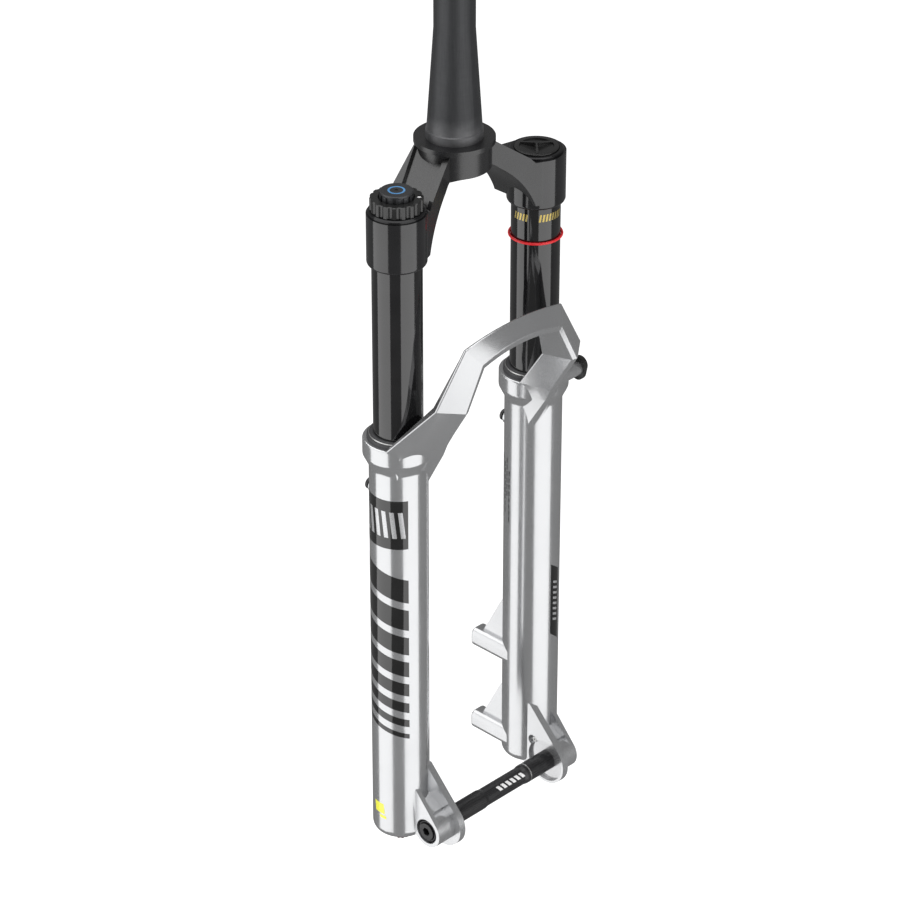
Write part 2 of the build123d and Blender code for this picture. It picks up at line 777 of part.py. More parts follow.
floater_bottom = valve_top + 10.0
floating_piston = tube_on_leg(RIGHT, cartridge_bore - running, dial_bore + 1.5 + running,
                              floater_bottom, floater_bottom + floater_height)
save(floating_piston, "floating_piston")
spring_wire = 1.0
spring_bottom = floater_bottom + floater_height
with BuildPart() as floater_spring:
    spring_height = cartridge_top - spring_bottom - 2 * spring_wire
    with BuildLine(leg_at(RIGHT, spring_bottom + spring_wire)):
        coil = Helix(spring_height / 8, spring_height, 8.2)
    with BuildSketch(Plane(origin=coil @ 0, z_dir=coil % 0)):
        Circle(spring_wire)
    sweep()
save(floater_spring, "floater_spring")
damper_seal_head = turned_on_leg(RIGHT, [
    (shaft_radius + running, head_top - head_thickness),
    (tube_radius - running, head_top - head_thickness),
    (tube_radius - running, cartridge_bottom - 0.1),
    (cartridge_bore - running, cartridge_bottom - 0.1),
    (cartridge_bore - running, head_top),
    (shaft_radius + running, head_top),
])
save(damper_seal_head, "damper_seal_head")
damper_shaft = tube_on_leg(RIGHT, shaft_radius, shaft_bore, shaft_bottom, piston_bottom + 10.0)
save(damper_shaft, "damper_shaft")
damper_piston = turned_on_leg(RIGHT, [
    (shaft_radius + pressed, piston_bottom),
    (cartridge_bore - 0.4, piston_bottom),
    (cartridge_bore - 0.4, piston_bottom + 2.0),
    (cartridge_bore - 1.6, piston_bottom + 2.0),
    (cartridge_bore - 1.6, piston_bottom + 6.0),
    (cartridge_bore - 0.4, piston_bottom + 6.0),
    (cartridge_bore - 0.4, piston_bottom + 8.0),
    (shaft_radius + pressed, piston_bottom + 8.0),
])
save(damper_piston, "damper_piston")
piston_ring = tube_on_leg(RIGHT, cartridge_bore - running, cartridge_bore - 1.5,
                          piston_bottom + 2.1, piston_bottom + 5.9)
save(piston_ring, "piston_ring")

# ---- Foot bolts, their washers, and the rebound dial under the right leg ----
bolt_shank = 4.1
washer_height = 1.4
washer_top = leg_bottom + foot_recess_depth
bolt_head_radius = 7.2
bolt_seat = washer_top - washer_height
head_bottom = bolt_seat - 4.6
bolt_top = leg_floor + 22.0
needle_radius = 1.6
with BuildPart() as foot_bolt_left:
    add(turned_on_leg(LEFT, [
        (0, head_bottom),
        (bolt_head_radius, head_bottom),
        (bolt_head_radius, bolt_seat),
        (bolt_shank, bolt_seat),
        (bolt_shank, bolt_top),
        (0, bolt_top),
    ]).part)
    with BuildSketch(leg_at(LEFT, head_bottom)):
        RegularPolygon(2.9, 6)
    extrude(amount=3.4, mode=Mode.SUBTRACT)
save(foot_bolt_left, "foot_bolt_left")
foot_bolt_right = turned_on_leg(RIGHT, [
    (needle_radius + running, head_bottom),
    (bolt_head_radius, head_bottom),
    (bolt_head_radius, bolt_seat),
    (shaft_bore - running, bolt_seat),
    (shaft_bore - running, bolt_top),
    (needle_radius + running, bolt_top),
])
save(foot_bolt_right, "foot_bolt_right")
with BuildPart() as crush_washers:
    for side, side_name in SIDES:
        with BuildSketch(leg_at(side, bolt_seat)):
            Circle(bolt_head_radius)
            Circle(bolt_shank + 0.1, mode=Mode.SUBTRACT)
        extrude(amount=washer_height)
save(crush_washers, "crush_washers")
dial_radius = 7.6
dial_top = head_bottom - clear
dial_height = 8.5
with BuildPart() as rebound_dial:
    with BuildSketch(leg_at(RIGHT, dial_top - dial_height)):
        Circle(dial_radius)
        with PolarLocations(dial_radius + 0.6, 14):
            Circle(1.2, mode=Mode.SUBTRACT)
    extrude(amount=dial_height)
    chamfer(rebound_dial.faces().sort_by(Axis.Z)[0].edges(), 0.4)
    with BuildSketch(leg_at(RIGHT, dial_top)):
        Circle(needle_radius)
    extrude(amount=piston_bottom + 6.0 - dial_top)
    with BuildSketch(leg_at(RIGHT, dial_top - dial_height)):
        RegularPolygon(2.0, 6)
    extrude(amount=3.0, mode=Mode.SUBTRACT)
save(rebound_dial, "rebound_dial")

# ---- Pressure relief buttons at the back of each leg ----
button_travel = 1.2
seat_radius = 5.4
seat_length = 2.6
stem_radius = 2.55
stem_inner = stanchion_radius + 1.9
button_base = valve_face + seat_length + button_travel + 0.3
button_radius = 4.4
button_height = 2.6
for side, side_name in SIDES:
    valve_plane = valve_at(side)
    with BuildPart() as seat:
        with BuildSketch(valve_plane.offset(valve_face)):
            Circle(seat_radius)
        extrude(amount=seat_length)
        fillet(seat.faces().sort_by(Axis.X)[0].edges(), 0.5)
        with BuildSketch(valve_plane.offset(bushing_radius + 0.6)):
            Circle(valve_bore - pressed)
        extrude(amount=valve_face - bushing_radius - 0.6)
        with BuildSketch(valve_plane.offset(bushing_radius)):
            Circle(stem_radius + running)
        extrude(amount=20, mode=Mode.SUBTRACT)
    save(seat, f"relief_seat_{side_name}")
    with BuildPart() as button:
        with BuildSketch(valve_plane.offset(stem_inner)):
            Circle(stem_radius)
        extrude(amount=button_base - stem_inner)
        with BuildSketch(valve_plane.offset(button_base)):
            Circle(button_radius)
        extrude(amount=button_height)
        fillet(button.faces().sort_by(Axis.X)[0].edges(), 0.9)
    save(button, f"relief_button_{side_name}")

# ---- Hose guide, screwed to its boss on the left collar ----
guide_width = 13.0
guide_height = 19.0
guide_thickness = 4.2
guide_face = half_spacing + guide_reach
with BuildPart() as hose_guide:
    with BuildSketch(upright(guide_face)):
        with Locations((guide_x, guide_z)):
            SlotCenterToCenter(guide_height - guide_width, guide_width, rotation=78)
    extrude(amount=-guide_thickness)
    fillet(hose_guide.faces().sort_by(Axis.Y)[-1].edges(), 1.4)
    with BuildSketch(upright(guide_face)):
        with Locations((guide_x, guide_z)):
            Circle(1.8)
    extrude(amount=-guide_thickness, mode=Mode.SUBTRACT)
save(hose_guide, "hose_guide")
with BuildPart() as hose_guide_screw:
    with BuildSketch(upright(guide_face + guide_thickness)):
        with Locations((guide_x, guide_z)):
            Circle(3.2)
    extrude(amount=-1.8)
    with BuildSketch(upright(guide_face + guide_thickness)):
        with Locations((guide_x, guide_z)):
            Circle(1.55)
    extrude(amount=guide_thickness + 7.0)
    with BuildSketch(upright(guide_face + guide_thickness + 1.8)):
        with Locations((guide_x, guide_z)):
            RegularPolygon(1.6, 6)
    extrude(amount=1.3, mode=Mode.SUBTRACT)
save(hose_guide_screw, "hose_guide_screw")

# ---- Thru axle, its head and captive cone washer ----
neck_radius = axle_radius - 0.6
neck_left = 27.0
neck_right = -18.0
axle_bore = axle_radius - 2.5
axle_centre = (axle_offset, 0, axle_z)


def turned_on_axle(outline):
    """Revolve an outline of (radius, y) points about the wheel axle."""
    with BuildPart() as piece:
        with BuildSketch(Plane(axle_centre, x_dir=(1, 0, 0), z_dir=(0, 0, 1))):
            with BuildLine():
                Polyline(*outline, close=True)
            make_face()
        revolve(axis=Axis(axle_centre, (0, 1, 0)))
    return piece


head_radius = axle_radius + 1.8
head_floor = -lug_y + head_seat
with BuildPart() as axle:
    add(turned_on_axle([
        (0, head_floor - 6.4),
        (head_radius - 2.6, head_floor - 6.4),
        (head_radius - 2.6, head_floor - 2.3),
        (axle_radius, head_floor - 2.3),
        (axle_radius, neck_right),
        (neck_radius, neck_right + 3.0),
        (neck_radius, neck_left - 3.0),
        (axle_radius, neck_left),
        (axle_radius, lug_y - 1.0),
        (axle_radius - 1.0, lug_y),
        (axle_bore, lug_y),
        (axle_bore, head_floor + 8.0),
        (0, head_floor + 8.0),
    ]).part)
    with BuildSketch(upright(head_floor - 6.4)):
        with Locations((axle_offset, axle_z)):
            RegularPolygon(3.45, 6)
    extrude(amount=-6.5, mode=Mode.SUBTRACT)
save(axle, "axle")
axle_washer = turned_on_axle([
    (axle_radius + running, head_floor - 0.1),
    (head_radius, head_floor - 0.1),
    (head_radius, head_floor - 3.4),
    (head_radius - 1.4, head_floor - 5.2),
    (axle_radius + running, head_floor - 5.2),
    (axle_radius + running, head_floor - 2.4),
])
save(axle_washer, "axle_washer")
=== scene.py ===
import math

import bmesh
import bpy
import numpy as np
from mathutils import Matrix, Vector


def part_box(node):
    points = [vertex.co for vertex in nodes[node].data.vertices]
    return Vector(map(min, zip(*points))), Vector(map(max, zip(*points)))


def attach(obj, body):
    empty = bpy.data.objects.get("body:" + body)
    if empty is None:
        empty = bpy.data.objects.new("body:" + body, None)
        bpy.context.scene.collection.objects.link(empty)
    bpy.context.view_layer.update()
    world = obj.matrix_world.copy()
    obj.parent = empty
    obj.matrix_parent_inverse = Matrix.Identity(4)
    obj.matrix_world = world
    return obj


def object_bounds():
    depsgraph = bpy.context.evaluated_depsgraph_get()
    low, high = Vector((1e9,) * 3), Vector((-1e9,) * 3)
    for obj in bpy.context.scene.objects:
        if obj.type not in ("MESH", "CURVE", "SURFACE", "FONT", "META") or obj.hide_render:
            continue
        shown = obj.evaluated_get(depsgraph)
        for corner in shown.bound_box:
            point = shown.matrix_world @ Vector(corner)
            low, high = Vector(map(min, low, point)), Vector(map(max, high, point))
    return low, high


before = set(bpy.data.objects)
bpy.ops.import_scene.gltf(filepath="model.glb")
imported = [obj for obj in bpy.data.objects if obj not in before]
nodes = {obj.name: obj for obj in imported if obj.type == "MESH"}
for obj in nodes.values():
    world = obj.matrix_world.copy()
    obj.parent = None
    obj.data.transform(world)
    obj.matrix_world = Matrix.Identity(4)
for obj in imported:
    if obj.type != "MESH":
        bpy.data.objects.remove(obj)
cad_low, cad_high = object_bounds()

# ---- Studio ----
# A white floor well under the fork, a white backdrop, two tall soft panels beside the camera and
# one overhead. The side panels run down past the axle, because upright tubes seen from above
# mirror what is below.


def set_up(thing, place, back):
    """Add a camera or light at place, with its back turned in the given direction."""
    bpy.context.scene.collection.objects.link(thing)
    turn = Vector(back).to_track_quat("Z", "Y").to_matrix().to_4x4()
    thing.matrix_world = Matrix.Translation(place) @ turn


camera_data = bpy.data.cameras.new("camera")
camera_data.lens = 147.6
camera_data.sensor_width = 36.0
camera_data.clip_end = 50.0
camera = bpy.data.objects.new("camera", camera_data)
camera_place = (1.58751, -1.63152, 1.06492)
camera_back = Vector((0.6051, -0.6202, 0.4992))
set_up(camera, camera_place, camera_back)
bpy.context.scene.camera = camera

floor_drop = 1.9
floor_size = 40.0
bpy.ops.mesh.primitive_plane_add(size=floor_size, location=(0, 0, cad_low[2] - floor_drop))
floor = bpy.context.object
floor.name = "floor"
floor.visible_glossy = False
floor_paint = bpy.data.materials.new("floor_white")
floor_paint.use_nodes = True
floor_shader = floor_paint.node_tree.nodes["Principled BSDF"]
floor_shader.inputs["Base Color"].default_value = (0.9, 0.9, 0.9, 1)
floor_shader.inputs["Roughness"].default_value = 0.9
floor_shader.inputs["Emission Color"].default_value = (1, 1, 1, 1)
floor_shader.inputs["Emission Strength"].default_value = 0.9
floor.data.materials.append(floor_paint)

world = bpy.data.worlds.new("studio")
world.use_nodes = True
room = world.node_tree
dim_walls = room.nodes["Background"]
dim_walls.inputs["Color"].default_value = (1, 1, 1, 1)
dim_walls.inputs["Strength"].default_value = 0.18
white_backdrop = room.nodes.new("ShaderNodeBackground")
white_backdrop.inputs["Color"].default_value = (1, 1, 1, 1)
seen = room.nodes.new("ShaderNodeLightPath")
walls = room.nodes.new("ShaderNodeMixShader")
room.links.new(seen.outputs["Is Camera Ray"], walls.inputs[0])
room.links.new(dim_walls.outputs["Background"], walls.inputs[1])
room.links.new(white_backdrop.outputs["Background"], walls.inputs[2])
room.links.new(walls.outputs["Shader"], room.nodes["World Output"].inputs["Surface"])
bpy.context.scene.world = world
bpy.context.scene.view_settings.view_transform = "Standard"


def soft_panel(name, place, aim, width, height, radiance):
    """Rectangular light at place, facing aim, with the given radiance."""
    light = bpy.data.lights.new(name, "AREA")
    light.shape = "RECTANGLE"
    light.size = width
    light.size_y = height
    light.energy = radiance * math.pi * width * height
    panel = bpy.data.objects.new(name, light)
    set_up(panel, place, Vector(place) - Vector(aim))
    panel.visible_camera = False


def beside(turn, distance, height):
    """Point at that distance from the fork, turned that many degrees to the camera's right."""
    towards = math.atan2(camera_back.y, camera_back.x) + math.radians(turn)
    return (distance * math.cos(towards), distance * math.sin(towards), height)


side_middle = -0.55
side_distance = 1.7
side_width = 2.1
side_height = 3.2
side_radiance = 1.3
for side, turn in (("right", 46), ("left", -64)):
    soft_panel("panel_" + side, beside(turn, side_distance, side_middle), (0, 0, side_middle),
               side_width, side_height, side_radiance)
soft_panel("panel_top", (-0.5, -0.4, 2.2), (-0.5, -0.4, 0), width=4.2, height=3.4, radiance=1.7)

# ---- Steerer tube ----
# Steerer tube: drawn and tapered aluminium, satin dark grey anodised, with a brighter turned seat
# for the headset's lower race at its foot.


def new_material(name, colour, metallic, roughness, coat=0.0, coat_roughness=0.05):
    """Principled material; returns (material, node tree, shader)."""
    material = bpy.data.materials.new(name)
    material.use_nodes = True
    tree = material.node_tree
    shader = tree.nodes["Principled BSDF"]
    shader.inputs["Base Color"].default_value = (*colour, 1)
    shader.inputs["Metallic"].default_value = metallic
    shader.inputs["Roughness"].default_value = roughness
    shader.inputs["Coat Weight"].default_value = coat
    shader.inputs["Coat Roughness"].default_value = coat_roughness
    return material, tree, shader


def place_of(tree, stretch=(1, 1, 1)):
    """Object coordinates, in metres, stretched per axis."""
    coordinates = tree.nodes.new("ShaderNodeTexCoord")
    mapping = tree.nodes.new("ShaderNodeMapping")
    mapping.inputs["Scale"].default_value = stretch
    tree.links.new(coordinates.outputs["Object"], mapping.inputs["Vector"])
    return mapping.outputs["Vector"]


def noise(tree, scale, stretch=(1, 1, 1), detail=3.0):
    """Noise value from 0 to 1 over the object; scale is in grains per metre."""
    texture = tree.nodes.new("ShaderNodeTexNoise")
    texture.inputs["Scale"].default_value = scale
    texture.inputs["Detail"].default_value = detail
    tree.links.new(place_of(tree, stretch), texture.inputs["Vector"])
    return texture.outputs["Fac"]


def spread(tree, value, low, high, from_low=0.3, from_high=0.7):
    """The value mapped from from_low..from_high, a noise's usual range, to low..high."""
    remap = tree.nodes.new("ShaderNodeMapRange")
    remap.inputs["From Min"].default_value = from_low
    remap.inputs["From Max"].default_value = from_high
    remap.inputs["To Min"].default_value = low
    remap.inputs["To Max"].default_value = high
    tree.links.new(value, remap.inputs["Value"])
    return remap.outputs["Result"]


def blended(tree, factor, first, second):
    """Colour from first to second as factor goes from 0 to 1; each is a colour or a socket."""
    mix = tree.nodes.new("ShaderNodeMix")
    mix.data_type = "RGBA"
    tree.links.new(factor, mix.inputs["Factor"])
    for socket, colour in ((mix.inputs[6], first), (mix.inputs[7], second)):
        if isinstance(colour, tuple):
            socket.default_value = (*colour, 1)
        else:
            tree.links.new(colour, socket)
    return mix.outputs[2]


def bumped(tree, shader, value, height, strength):
    """Fine relief of the given height in metres, from a value of 0 to 1."""
    bump = tree.nodes.new("ShaderNodeBump")
    bump.inputs["Distance"].default_value = height
    bump.inputs["Strength"].default_value = strength
    tree.links.new(value, bump.inputs["Height"])
    tree.links.new(bump.outputs["Normal"], shader.inputs["Normal"])


def part_of(tree, axis):
    """One Object coordinate, X, Y or Z."""
    split = tree.nodes.new("ShaderNodeSeparateXYZ")
    tree.links.new(place_of(tree), split.inputs["Vector"])
    return split.outputs[axis]


def calculated(tree, operation, first, second=None):
    """Math node on values or sockets."""
    node = tree.nodes.new("ShaderNodeMath")
    node.operation = operation
    for index, value in enumerate((first, second)):
        if value is None:
            continue
        if isinstance(value, (int, float)):
            node.inputs[index].default_value = value
        else:
            tree.links.new(value, node.inputs[index])
    return node.outputs["Value"]


def finish(material, *names):
    """Give CAD nodes this one material."""
    for name in names:
        nodes[name].data.materials.clear()
        nodes[name].data.materials.append(material)


race_seat_height = 0.006
satin_dark = (0.030, 0.031, 0.033)
satin_light = (0.050, 0.051, 0.054)
turned_bright = (0.15, 0.15, 0.155)
material, tree, shader = new_material("steerer_satin", satin_light, metallic=0.55, roughness=0.42)
streaks = noise(tree, 900, (1, 1, 0.02), detail=4)
rings = noise(tree, 1500, (0.05, 0.05, 1))
blotches = noise(tree, 60, detail=4)
near_foot = spread(tree, part_of(tree, "Z"), 1, 0, 0.5 * race_seat_height, 3.2 * race_seat_height)
patchy = calculated(tree, "MULTIPLY", near_foot, spread(tree, blotches, 0.3, 1.0, 0.35, 0.65))
satin = blended(tree, streaks, satin_dark, satin_light)
tree.links.new(blended(tree, patchy, satin, turned_bright), shader.inputs["Base Color"])
tree.links.new(spread(tree, rings, 0.36, 0.5), shader.inputs["Roughness"])
bumped(tree, shader, rings, height=0.00001, strength=0.5)
finish(material, "steerer_tube")

# ---- Crown ----
# Crown: one aluminium forging that joins the steerer and both stanchions, blasted and anodised
# black, satin on its arms and hub and glossy on its machined clamps.


def surface(name, dark, light, metallic, roughness, grain=900.0, relief=0.000004,
            stretch=(1, 1, 1), coat=0.0, ior=1.5):
    """Material that drifts slowly between two tones, with a fine grain in its roughness and
    relief; grain is in grains per metre and relief in metres."""
    material, tree, shader = new_material(name, dark, metallic, roughness, coat)
    shader.inputs["IOR"].default_value = ior
    drift = spread(tree, noise(tree, 55.0), 0, 1)
    fine = noise(tree, grain, stretch, 2)
    tree.links.new(blended(tree, drift, dark, light), shader.inputs["Base Color"])
    tree.links.new(spread(tree, fine, 0.8 * roughness, 1.25 * roughness), shader.inputs["Roughness"])
    bumped(tree, shader, fine, relief, strength=0.6)
    return material


def away_from(tree, first, first_centre, second, second_centre):
    """Distance from an axis: root of the two squared differences from its centre, added up."""
    squares = []
    for value, centre in ((first, first_centre), (second, second_centre)):
        difference = calculated(tree, "SUBTRACT", value, centre)
        squares.append(calculated(tree, "MULTIPLY", difference, difference))
    return calculated(tree, "SQRT", calculated(tree, "ADD", *squares))


right_low, right_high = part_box("stanchion_right")
leg_x = (right_low[0] + right_high[0]) / 2
leg_y = -(right_low[1] + right_high[1]) / 2
tube_radius = (right_high[0] - right_low[0]) / 2
crown_low, crown_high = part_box("crown")
clamp_radius = crown_high[1] - leg_y
clamp_margin = 0.0003
clamp_gloss = 0.38
material = surface("crown_black", dark=(0.006, 0.006, 0.0065), light=(0.010, 0.010, 0.011),
                   metallic=0.0, roughness=0.3, grain=1600, relief=0.000003, ior=1.75)
tree = material.node_tree
either_side = calculated(tree, "ABSOLUTE", part_of(tree, "Y"))
from_leg = away_from(tree, part_of(tree, "X"), leg_x, either_side, leg_y)
machined = calculated(tree, "LESS_THAN", from_leg, clamp_radius + clamp_margin)
satin = spread(tree, noise(tree, 1600, detail=2), 0.26, 0.34)
polish = spread(tree, machined, 1.0, clamp_gloss, 0, 1)
crown_shader = tree.nodes["Principled BSDF"]
tree.links.new(calculated(tree, "MULTIPLY", satin, polish), crown_shader.inputs["Roughness"])
finish(material, "crown")

# ---- Stanchions ----
# Stanchions: drawn aluminium tubes, ground, hard anodised black and polished along their length,
# pressed into the crown; the air side carries a band of slanted gold marks under the clamp.
lengthways = (1, 1, 0.03)
material = surface("stanchion_black", dark=(0.004, 0.004, 0.0045), light=(0.007, 0.007, 0.0075),
                   metallic=0.0, roughness=0.08, grain=2600, relief=0.000001, stretch=lengthways,
                   ior=1.8)
finish(material, "stanchion_left", "stanchion_right")

ALONG_Z = ((1, 0, 0), (0, 1, 0), (0, 0, 1))
ALONG_Y = ((0, 0, 1), (1, 0, 0), (0, 1, 0))


def new_piece(name, points, faces, material, body):
    """Closed mesh piece from arrays of points and faces, riding on a body, with its sharp folds."""
    mesh = bpy.data.meshes.new(name)
    mesh.from_pydata(points.reshape(-1, 3), [], faces.reshape(-1, faces.shape[-1]))
    piece = bpy.data.objects.new(name, mesh)
    bpy.context.scene.collection.objects.link(piece)
    shell = bmesh.new()
    shell.from_mesh(mesh)
    bmesh.ops.remove_doubles(shell, verts=shell.verts, dist=1e-7)
    bmesh.ops.recalc_face_normals(shell, faces=shell.faces)
    shell.to_mesh(mesh)
    shell.free()
    mesh.polygons.foreach_set("use_smooth", np.ones(len(mesh.polygons), dtype=bool))
    mesh.set_sharp_from_angle(angle=math.radians(30))
    mesh.materials.append(material)
    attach(piece, body)


def around_axis(centre, directions, radius, angle, height):
    """Points about a bar's axis: centre + radius * (cos angle * first direction + sin angle *
    second direction) + height * third direction."""
    first, second, third = np.array(directions, dtype=float)
    return (np.array(centre, dtype=float) + (radius * np.cos(angle))[..., None] * first
            + (radius * np.sin(angle))[..., None] * second + height[..., None] * third)


def strip(one, other):
    """Quads between two rows of points, for each patch."""
    quads = np.stack([one[..., :-1], one[..., 1:], other[..., 1:], other[..., :-1]], axis=-1)
    return quads.reshape(-1, 4)


film_lift = 0.00005
film_back = 0.00001


def wrapped(name, centre, directions, radius, patches, material, body, columns=25):
    """Thin film wrapped on a bar. Each patch is four corners (degrees, metres along the bar), top
    left first and clockwise, filled in by mixing them in straight lines; its outside lies
    film_lift over the radius, and an inner layer at film_back and four rims close it."""
    corner = np.array(patches)[:, :, None, None, :]
    across = np.linspace(0, 1, columns)[None, :, None]
    up = np.array([0.0, 1.0])[:, None, None]
    top = corner[:, 0] * (1 - across) + corner[:, 1] * across
    bottom = corner[:, 3] * (1 - across) + corner[:, 2] * across
    mixed = top * up + bottom * (1 - up)
    angle = np.radians(mixed[..., 0])[:, None]
    height = np.repeat(mixed[..., 1][:, None], 2, axis=1)
    reach = radius + np.array([film_lift, film_back])[None, :, None, None]
    points = around_axis(centre, directions, reach, angle, height)
    index = np.arange(points.size // 3).reshape(points.shape[:-1])
    outer, inner = index[:, 0], index[:, 1]
    ends = [np.stack([outer[:, 0, side], outer[:, 1, side], inner[:, 1, side], inner[:, 0, side]],
                     axis=-1) for side in (0, -1)]
    faces = np.concatenate([
        strip(outer[:, 0], outer[:, 1]), strip(inner[:, 1], inner[:, 0]),
        strip(inner[:, 0], outer[:, 0]), strip(outer[:, 1], inner[:, 1]), *ends])
    new_piece(name, points, faces, material, body)


def slash(left, right, top, bottom, lean=0.0):
    """Leaning bar between two angles and two heights; its top is shifted by lean degrees."""
    return [(left + lean, top), (right + lean, top), (right, bottom), (left, bottom)]


def slashes(first, last, step, width, top, bottom, lean):
    """Row of equal leaning bars."""
    return [slash(left, left + width, top, bottom, lean) for left in np.arange(first, last, step)]


print_top = crown_low[2] - 0.0045
print_bottom = print_top - 0.0055
gold_marks = slashes(-104, -68, 8, 4.5, print_top, print_bottom, 3)
gold_marks += slashes(-40, 24, 8, 4.5, print_top, print_bottom, 3)
gold_ink = surface("print_gold", dark=(0.50, 0.38, 0.10), light=(0.62, 0.50, 0.18),
                   metallic=0.7, roughness=0.3, grain=3000)
wrapped("stanchion_print", (leg_x, leg_y, 0), ALONG_Z, tube_radius, gold_marks, gold_ink,
        "uppers", columns=5)

# ---- Sag ring ----
# Sag ring: moulded red rubber ring that grips the left stanchion and shows how far the fork has
# moved.
material = surface("sag_red", dark=(0.62, 0.012, 0.018), light=(0.75, 0.020, 0.028),
                   metallic=0.0, roughness=0.35, grain=2500)
finish(material, "sag_ring")

# ---- Lower casting ----
# Lowers: both legs, the arch, the dropouts and the brake posts are one magnesium casting, painted
# bright silver under a clear coat; the hub seats and the post faces are machined bare.
axle_low, axle_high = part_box("axle")
axle_x = (axle_low[0] + axle_high[0]) / 2
axle_z = (axle_low[2] + axle_high[2]) / 2
hub_seat_y = 0.055
hub_seat_radius = 0.0166
post_face_x = cad_low[0]
paint_edge = 0.00015
tool_marks = 14000.0
silver_dark = (0.53, 0.535, 0.545)
silver_light = (0.66, 0.665, 0.675)
bare_dark = (0.50, 0.50, 0.51)
bare_light = (0.66, 0.66, 0.67)
material, tree, shader = new_material("cast_silver", silver_light, metallic=0.85, roughness=0.3,
                                      coat=1.0, coat_roughness=0.04)
paint = blended(tree, noise(tree, 5200, detail=1), silver_dark, silver_light)
from_axle = away_from(tree, part_of(tree, "X"), axle_x, part_of(tree, "Z"), axle_z)
inboard = calculated(tree, "ABSOLUTE", part_of(tree, "Y"))
in_seat = calculated(
    tree, "MULTIPLY", calculated(tree, "LESS_THAN", from_axle, hub_seat_radius),
    calculated(tree, "LESS_THAN", inboard, hub_seat_y + paint_edge))
on_post = calculated(tree, "LESS_THAN", part_of(tree, "X"), post_face_x + paint_edge)
bare = calculated(tree, "MAXIMUM", in_seat, on_post)
turning = calculated(tree, "SINE", calculated(tree, "MULTIPLY", from_axle, tool_marks))
metal = blended(tree, spread(tree, turning, 0, 1, -1, 1), bare_dark, bare_light)
tree.links.new(blended(tree, bare, paint, metal), shader.inputs["Base Color"])
tree.links.new(spread(tree, noise(tree, 30), 0.17, 0.24), shader.inputs["Roughness"])
tree.links.new(spread(tree, bare, 1.0, 0.0, 0, 1), shader.inputs["Coat Weight"])
bumped(tree, shader, noise(tree, 420, detail=2), height=0.000002, strength=0.5)
finish(material, "lower_casting")

# ---- Leg graphics ----
# Graphics: cut vinyl films on the legs, laid before the clear coat: a hatched panel and slanted
# stripes on the right leg, a slanted label and fine lines on the left, and a yellow tag.
leg_radius = tube_radius + 0.0034
second_layer = 0.00008
right_leg = (leg_x, -leg_y, 0)
left_leg = (leg_x, leg_y, 0)
black_vinyl = surface("vinyl_black", dark=(0.006, 0.006, 0.006), light=(0.010, 0.010, 0.010),
                      metallic=0.0, roughness=0.09, grain=1200, relief=0.000002, ior=1.75)
light_vinyl = surface("vinyl_light", dark=(0.55, 0.555, 0.565), light=(0.64, 0.645, 0.655),
                      metallic=0.7, roughness=0.3, grain=3000, coat=0.6)
yellow_vinyl = surface("vinyl_yellow", dark=(0.72, 0.72, 0.03), light=(0.82, 0.80, 0.06),
                       metallic=0.0, roughness=0.3, grain=3000, coat=0.6)
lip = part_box("wiper_seal_right")[1][2]


def on_leg(name, leg, patches, vinyl, layer=0.0, columns=25):
    """Film on a leg, with its patches' heights in millimetres below the wiper's lip."""
    heights = [[(angle, lip - 0.001 * depth) for angle, depth in patch] for patch in patches]
    wrapped(name, leg, ALONG_Z, leg_radius + layer, heights, vinyl, "lowers", columns)


wrap_left = -150.0
wrap_right = -27.0
panel_top = 46.0
panel_bottom = 85.0
panel_border = 9.0
stripe_gap = 6.0
stripe_fall = 14.0
black_patches = [slash(wrap_left, wrap_right, panel_top, panel_bottom)]
stripe_top = panel_bottom + 2 * stripe_gap
for thickness in np.linspace(19, 4, 8):
    black_patches.append([
        (wrap_left, stripe_top), (wrap_right, stripe_top + stripe_fall),
        (wrap_right, stripe_top + stripe_fall + thickness), (wrap_left, stripe_top + thickness)])
    stripe_top += thickness + stripe_gap
light_patches = slashes(-143, -40, 17, 9, panel_top + panel_border, panel_bottom - panel_border, -6)
on_leg("leg_graphics_black", right_leg, black_patches, black_vinyl)
on_leg("leg_graphics_light", right_leg, light_patches, light_vinyl, second_layer)
tag_patches = [slash(-106, -80, 305.0, 313.5, -3), slash(-92, -76, 315.0, 317.5, -2)]
on_leg("leg_tag", right_leg, tag_patches, yellow_vinyl, columns=9)

label_patches = [[(-3, 161.0), (23, 168.0), (23, 229.0), (-3, 221.0)]]
on_leg("label_black", left_leg, label_patches, black_vinyl, columns=9)
dash_fall = 2.2
dash_thickness = 2.0
label_marks = [
    [(4, depth), (17, depth + dash_fall), (17, depth + dash_fall + dash_thickness),
     (4, depth + dash_thickness)] for depth in np.arange(176, 211, 4.6)]
on_leg("label_light", left_leg, label_marks, light_vinyl, second_layer, columns=5)
line_patches = []
for column, (start, stop) in enumerate(((74, 125), (74, 112), (78, 121), (74, 104), (84, 125))):
    left = -134 + 8 * column
    for depth in np.arange(start, stop, 5.5):
        line_patches.append(slash(left, left + 2.6, depth, depth + 4.2))
on_leg("care_lines", left_leg, line_patches, black_vinyl, columns=3)

# ---- Wiper seals and foam rings ----
# Wipers: moulded nitrile rubber with a thin steel garter spring round the lip, pressed into each
# leg; an oiled foam ring lies under each. The air piston's seal and the bumpers are rubber too.
material = surface("seal_rubber", dark=(0.030, 0.030, 0.033), light=(0.045, 0.045, 0.048),
                   metallic=0.0, roughness=0.5, grain=1800, relief=0.00001)
finish(material, "wiper_seal_left", "wiper_seal_right", "air_piston_seal", "bottom_out_bumper",
       "top_out_bumper", "air_cap_seal")
material = surface("foam_black", dark=(0.02, 0.02, 0.02), light=(0.04, 0.04, 0.04),
                   metallic=0.0, roughness=0.9, grain=1400, relief=0.0002)
finish(material, "foam_ring_left", "foam_ring_right")

